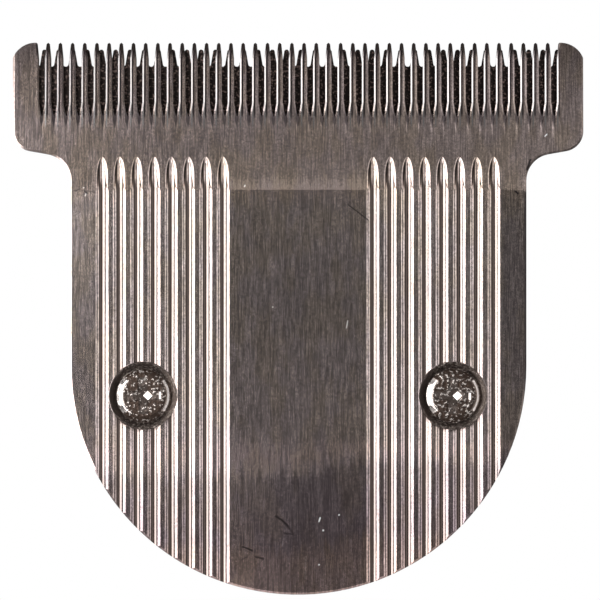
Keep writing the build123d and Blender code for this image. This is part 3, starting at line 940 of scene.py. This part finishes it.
def screw_surface(screw, low, high, turn):
    """A screw as rings of points: angle v around, profile u from the top of the head to the tip.

    The head is flat less the cross recess, falls off over a circular shoulder into a cone and an upright
    rim, then has a flat underside and a shank whose radius follows a sine of its height less its angle.
    """
    around, flat_rings, rim_rings, shank_rings = 288, 90, 20, 70
    edge, rim, inset = 0.02 * MM, 0.3 * MM, 0.02
    tip_height, tip_wide, tip_narrow = 0.3, 0.7, 0.3
    centre = (np.array(low) + np.array(high)) / 2
    radius = (high[0] - low[0]) / 2
    seat = low[2] + screw.reach
    v = np.linspace(0, 2 * np.pi, around, endpoint=False)

    def ring_of(values):
        return np.repeat(np.asarray(values)[:, None], around, 1)

    flat_r = np.linspace(edge, screw.flat, flat_rings)
    r_top = np.concatenate([flat_r, np.linspace(screw.flat, radius, rim_rings)[1:]])
    over = np.clip(r_top - screw.flat, 0, None)
    bent = np.clip(over, None, screw.shoulder * math.sin(screw.fall))
    z_top = high[2] - screw.shoulder + np.sqrt(screw.shoulder**2 - bent**2)
    z_top = z_top - (over - bent) * math.tan(screw.fall)
    grid_r = ring_of(r_top)
    z = z_top[:, None] - cross_depth(grid_r * np.cos(v), grid_r * np.sin(v), screw)
    core = screw.shank / 2
    z_shank = np.linspace(seat, low[2] + core * tip_height, shank_rings)
    turns = (z_shank[:, None] - seat) / screw.pitch - v[None, :] / (2 * np.pi)
    wave = 0.5 + 0.5 * np.cos(2 * np.pi * turns)
    ease = np.clip((seat - z_shank) / screw.pitch, 0, 1)[:, None]
    r_shank = core - screw.thread * ease * (1 - wave)
    r_below = [radius, radius, radius * (1 - inset), core * (1 + inset)]
    z_below = [seat + rim, seat + edge, seat, seat]
    r_tip, z_tip = [core * tip_wide, core * tip_narrow], [low[2] + edge, low[2]]
    radii = np.concatenate([grid_r, ring_of(r_below), r_shank, ring_of(r_tip)])
    heights = np.concatenate([z, ring_of(z_below), ring_of(z_shank), ring_of(z_tip)])
    px = centre[0] + radii * np.cos(v + turn)
    py = centre[1] + radii * np.sin(v + turn)
    points = np.stack([px, py, heights], -1).reshape(-1, 3)
    ends = [[centre[0], centre[1], heights[0].mean()], [centre[0], centre[1], low[2]]]
    return np.concatenate([points, ends]).tolist(), ring_faces(len(radii), around)


class MakeScrews(bpy.types.Operator):
    """Make the two pan-head cross-recess screws with their threads"""

    bl_idname = "clipper_blade.make_screws"
    bl_label = "Screws"

    def execute(self, context):
        screw = context.scene.blade_looks.screw
        material, tree, shader = new_material("screw_plating")
        grain = place_group(tree, grain_group(), Size=SCREW_GRAIN).outputs["Grain"]
        low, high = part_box("right_screw")
        x, y, _ = axes(tree)
        sx = minus(tree, unsigned(tree, x), (low[0] + high[0]) / 2)
        sy = minus(tree, y, (low[1] + high[1]) / 2)
        facing = times(tree, sx, math_node(tree, "SIGN", x))
        beyond = minus(tree, distance(tree, sx, sy), screw.flat)
        sx, sy = unsigned(tree, sx), unsigned(tree, sy)
        for covering in (step(tree, facing, "rub right"), step(tree, sy, "rub ends")):
            beyond = minus(tree, beyond, covering)
        rubbed = step(tree, beyond, "rubbed")
        narrow, wide = (math_node(tree, kind, sx, sy) for kind in ("MINIMUM", "MAXIMUM"))
        cross = times(tree, step(tree, narrow, "arm side"), step(tree, wide, "arm length"))
        bare = larger(tree, rubbed, times(tree, cross, COVER["bare cross"]))
        aside = unsigned(tree, minus(tree, facing, GLINT_SHIFT))
        glint = step(tree, plus(tree, aside, sy), "glint")
        end = times(tree, strip(tree, facing, "arm end"), cross)
        bare = larger(tree, bare, larger(tree, glint, end))
        covered = minus(tree, 1.0, bare)
        dirt = times(tree, ramp(tree, grain, *NOISE["screw dirt"]), covered)
        steel = blend_colour(tree, dirt, opaque(screw.steel), opaque(screw.grime))
        metal = gain(tree, dirt, DULLER["screw dirt"])
        rough = gain(tree, dirt, ROUGHER["screw dirt"], SCREW_ROUGHNESS)
        connect(tree, shader, {"Base Color": steel, "Metallic": metal, "Roughness": rough})
        rugged = gain(tree, covered, 1 - BARE_RELIEF, BARE_RELIEF)
        bump(tree, shader, times(tree, grain, rugged), SCREW_RELIEF)
        for side, turn in (("left", screw.turn_left), ("right", screw.turn_right)):
            node = f"{side}_screw"
            low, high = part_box(node)
            points, faces = screw_surface(screw, low, high, turn)
            new_piece(f"{side}_pan_screw", points, faces, material, "frame", node)
        return {"FINISHED"}


def bail_surface(bail, low, high):
    """The wire as rings along a U: a leg, a quarter bend, the bar, a quarter bend and a leg.

    The path is a function of its length; each ring is a circle across the path, and the ends are rounded.
    """
    around, bend_rings, leg_rings, cap_rings = 32, 14, 24, 6
    first_cap, bulge = 0.15, 0.5
    radius = bail.wire / 2
    z = (low[2] + high[2]) / 2
    x_leg, y_bar, y_end = high[0] - radius, high[1] - radius, low[1]
    bend = np.linspace(0, np.pi / 2, bend_rings)
    leg = np.linspace(y_end + radius, y_bar - bail.bend, leg_rings)[:-1]
    corner_x = x_leg - bail.bend + bail.bend * np.cos(bend)
    corner_y = y_bar - bail.bend + bail.bend * np.sin(bend)
    straight = np.stack([np.full_like(leg, x_leg), leg], -1)
    right = np.concatenate([straight, np.stack([corner_x, corner_y], -1)])
    heading = np.concatenate([np.full_like(leg, np.pi / 2), bend + np.pi / 2])
    path = np.concatenate([right, right[::-1] * [-1, 1]])
    heading = np.concatenate([heading, 2 * np.pi - heading[::-1]])
    size = np.ones(len(path)) * radius
    cap = np.linspace(first_cap, np.pi / 2, cap_rings)[:-1]
    beyond = np.stack([np.zeros_like(cap), radius * bulge * np.cos(cap)], -1)
    path = np.concatenate([path[0] - beyond, path, (path[-1] - beyond)[::-1]])
    size = np.concatenate([radius * np.sin(cap), size, radius * np.sin(cap)[::-1]])
    heading = np.concatenate([np.full_like(cap, heading[0]), heading, np.full_like(cap, heading[-1])])
    turn = np.linspace(0, 2 * np.pi, around, endpoint=False)
    out = size[:, None] * np.cos(turn)
    px = path[:, :1] + out * np.sin(heading)[:, None]
    py = path[:, 1:] - out * np.cos(heading)[:, None]
    pz = z + size[:, None] * np.sin(turn)
    points = np.stack([px, py, pz], -1).reshape(-1, 3)
    ends = [[*path[0], z], [*path[-1], z]]
    return np.concatenate([points, ends]).tolist(), ring_faces(len(path), around)


def grained(name, tint, size, darkest, smoothest, metal, relief):
    """A material of one tint with a grain of this size, mottled down to the darkest share of the tint."""
    material, tree, shader = new_material(name)
    grain = place_group(tree, grain_group(), Size=size)
    dark = [darkest * c for c in tint]
    base = blend_colour(tree, grain.outputs["Mottle"], opaque(dark), opaque(tint))
    rough = gain(tree, grain.outputs["Grain"], ROUGHER["grain"], smoothest)
    connect(tree, shader, {"Base Color": base, "Metallic": metal, "Roughness": rough})
    bump(tree, shader, grain.outputs["Grain"], relief)
    return material


class MakeBail(bpy.types.Operator):
    """Make the wire bail with round bends"""

    bl_idname = "clipper_blade.make_bail"
    bl_label = "Wire bail"

    def execute(self, context):
        bail = context.scene.blade_looks.bail
        size, darkest, smoothest, relief = 0.2 * MM, 0.75, 0.15, 0.004 * MM
        material = grained("drawn_wire", bail.steel, size, darkest, smoothest, 1.0, relief)
        low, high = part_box("tension_spring")
        points, faces = bail_surface(bail, low, high)
        new_piece("wire_bail", points, faces, material, "frame", "tension_spring")
        return {"FINISHED"}


class DressMouldings(bpy.types.Operator):
    """Give the carrier, the follower and the inserts their plastic and brass"""

    bl_idname = "clipper_blade.dress_mouldings"
    bl_label = "Carrier, follower and inserts"

    def execute(self, context):
        finish = context.scene.blade_looks.moulded
        darkest = 0.8
        rows = (
            ("carrier_plastic", finish.carrier, 0.45, 0.0, 0.015, ("blade_carrier",)),
            ("follower_plastic", finish.follower, 0.35, 0.0, 0.004, ("cam_follower",)),
            ("insert_brass", finish.brass, 0.25, 1.0, 0.006, ("left_insert", "right_insert")),
        )
        for name, tint, smoothest, metal, relief, nodes in rows:
            material = grained(name, tint, finish.grain, darkest, smoothest, metal, relief * MM)
            for node in nodes:
                put(node, material)
        return {"FINISHED"}


def footprint(tree, low, high, wall):
    """Mask of the floor inside a tray's walls: straight sides, a square front and a half-round heel."""
    side, along, _ = axes(tree)
    behind = math_node(tree, "MINIMUM", minus(tree, along, low[1] + high[0]), 0.0)
    within = ramp(tree, distance(tree, side, behind), high[0] - wall / 2, high[0] - wall)
    return times(tree, within, ramp(tree, along, high[1] - wall / 2, high[1] - wall))


def softbox(name, compass, near, far, span, strength):
    """A rectangular light of this radiance: its width runs from near to far, each (out, up) towards compass.

    Compass is the angle from +X round to the light, span is the light's length across that direction.
    """
    out = Vector((math.cos(compass), math.sin(compass), 0))
    across = Vector((-math.sin(compass), math.cos(compass), 0))
    up = Vector((0, 0, 1))
    first, last = out * near[0] + up * near[1], out * far[0] + up * far[1]
    width = (last - first).length
    data = bpy.data.lights.new(name, "AREA")
    data.shape = "RECTANGLE"
    data.size, data.size_y = width, span
    data.energy = strength * math.pi * width * span
    light = bpy.data.objects.new(name, data)
    along = (last - first) / width
    facing = Matrix((along, across, along.cross(across))).transposed().to_4x4()
    light.matrix_world = Matrix.Translation((first + last) / 2) @ facing
    bpy.context.scene.collection.objects.link(light)


# Each light's name, compass angle, near and far edge as (out, up), span and radiance, in metres.
LIGHTS = (
    ("key_left", math.pi, (0.037, 0.13), (0.214, 0.103), 0.16, "key"),
    ("strip_right", 0.0, (0.07, 0.4), (0.22, 0.27), 0.3, "strip"),
    ("card_right", 0.0, (0.2, 0.132), (0.34, 0.06), 0.4, "card"),
    ("top_soft", math.pi / 2, (0.025, 0.2), (0.11, 0.18), 0.2, "top"),
    ("ceiling", 0.0, (-0.17, 0.8), (0.17, 0.8), 0.34, "ceiling"),
    ("low_fore", -math.pi / 2, (0.3, 0.3), (0.42, 0.02), 0.95, "low"),
    ("low_aft", math.pi / 2, (0.3, 0.3), (0.42, 0.02), 0.95, "low"),
)


class BuildStage(bpy.types.Operator):
    """Set the floor, the soft lights, the room and the camera"""

    bl_idname = "clipper_blade.build_stage"
    bl_label = "Stage"

    def execute(self, context):
        scene = context.scene
        setup = scene.blade_looks.stage
        half, cells, drop, tray_wall = 1.5, 8, 0.02 * MM, 1.2 * MM
        row = cells + 1
        side = np.linspace(-half, half, row)
        gx, gy = np.meshgrid(side, side)
        points = np.stack([gx, gy, np.full_like(gx, -drop)], -1).reshape(-1, 3)
        k = (np.arange(cells)[:, None] * row + np.arange(cells)[None, :]).reshape(-1)
        faces = np.stack([k, k + 1, k + row + 1, k + row], -1)
        mesh = bpy.data.meshes.new("floor")
        mesh.from_pydata(points.tolist(), [], faces.tolist())
        material, tree, shader = new_material("floor_white")
        dull = {"Base Color": opaque(setup.floor_shade), "Roughness": 0.9, "Specular IOR Level": 0.0}
        connect(tree, shader, dull)
        glow = wire(tree, "Emission", {"Color": opaque(setup.floor), "Strength": 1.0})
        covered = footprint(tree, *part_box("blade_carrier"), tray_wall)
        seen = wire(tree, "LightPath").outputs["Is Camera Ray"]
        seen = times(tree, seen, minus(tree, 1.0, covered))
        both = wire(tree, "MixShader", {0: seen, 1: shader.outputs["BSDF"], 2: glow.outputs["Emission"]})
        tree.links.new(both.outputs["Shader"], tree.nodes["Material Output"].inputs["Surface"])
        mesh.materials.append(material)
        floor = bpy.data.objects.new("floor", mesh)
        scene.collection.objects.link(floor)

        world = bpy.data.worlds.new("room")
        world.use_nodes = True
        tree = world.node_tree
        seen = wire(tree, "LightPath").outputs["Is Camera Ray"]
        room = blend_colour(tree, seen, opaque(setup.room), opaque(setup.floor))
        tree.links.new(room, tree.nodes["Background"].inputs["Color"])
        scene.world = world

        for name, compass, near, far, span, level in LIGHTS:
            softbox(name, compass, near, far, span, getattr(setup, level))

        data = bpy.data.cameras.new("camera")
        data.sensor_width = 36.0
        data.lens = data.sensor_width * setup.distance / setup.view_width
        data.clip_start, data.clip_end = 0.01, 10.0
        camera = bpy.data.objects.new("camera", data)
        camera.location = (setup.view_x, setup.view_y, CAD_HIGH[2] + setup.distance)
        scene.collection.objects.link(camera)
        scene.camera = camera
        scene.view_settings.view_transform = "Standard"
        return {"FINISHED"}


class BLADE_PT_looks(bpy.types.Panel):
    """Lists the steps that dress the blade"""

    bl_label = "Clipper blade"
    bl_idname = "BLADE_PT_looks"
    bl_space_type = "VIEW_3D"
    bl_region_type = "UI"
    bl_category = "Clipper blade"

    def draw(self, context):
        for job in STEPS:
            self.layout.operator(job.bl_idname)


STEPS = (DressPlate, DressCutter, MakeScrews, MakeBail, DressMouldings, BuildStage)
GROUPS = (SteelFinish, ScrewShape, BailShape, MouldedFinish, StageSetup, BladeLooks)


def register():
    """Registers the classes and hangs the values on the scene."""
    for cls in (*GROUPS, *STEPS, BLADE_PT_looks):
        bpy.utils.register_class(cls)
    bpy.types.Scene.blade_looks = PointerProperty(type=BladeLooks)


def unregister():
    """Takes the values and the classes away again."""
    del bpy.types.Scene.blade_looks
    for cls in reversed((*GROUPS, *STEPS, BLADE_PT_looks)):
        bpy.utils.unregister_class(cls)


def main():
    """Runs every step in order."""
    register()
    bpy.ops.clipper_blade.dress_plate()
    bpy.ops.clipper_blade.dress_cutter()
    bpy.ops.clipper_blade.make_screws()
    bpy.ops.clipper_blade.make_bail()
    bpy.ops.clipper_blade.dress_mouldings()
    bpy.ops.clipper_blade.build_stage()


if __name__ == "__main__":
    main()
